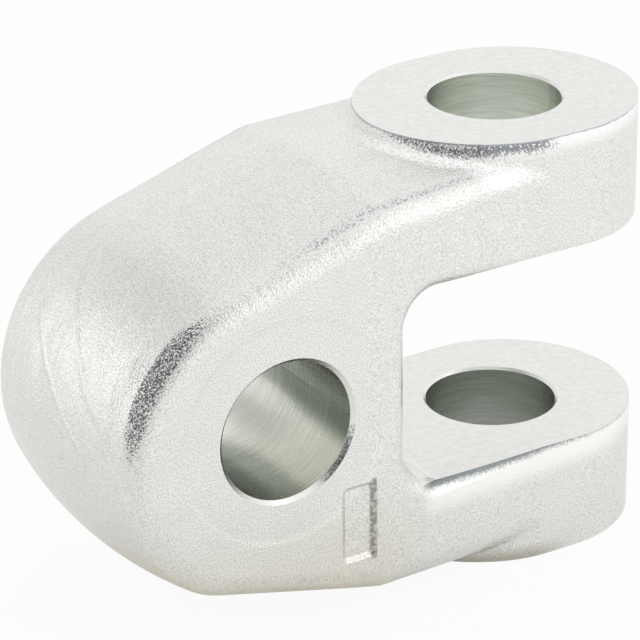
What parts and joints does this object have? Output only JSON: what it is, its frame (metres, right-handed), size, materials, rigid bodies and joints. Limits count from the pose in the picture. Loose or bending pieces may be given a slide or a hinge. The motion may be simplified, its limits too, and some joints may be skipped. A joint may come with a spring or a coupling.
{
  "type": "clevis rod end",
  "caption": "Forged fork end with a slot between two bossed ears, a pin bore through the ears and a crossing bore through the body.",
  "frame": {"origin": "on the fork-pin axis, midway between the two machined boss faces", "axes": "+Z along the fork-pin axis, +X from the body out to the ears, +Y along the cross bore"},
  "size_m": [0.1252, 0.054, 0.0864],
  "materials": {
    "forged_zinc": "dull silver zinc over a shot-blasted forging, with plain machined bores and faces"
  },
  "bodies": {
    "root": {"clevis": "forged_zinc"}
  },
  "joints": []
}
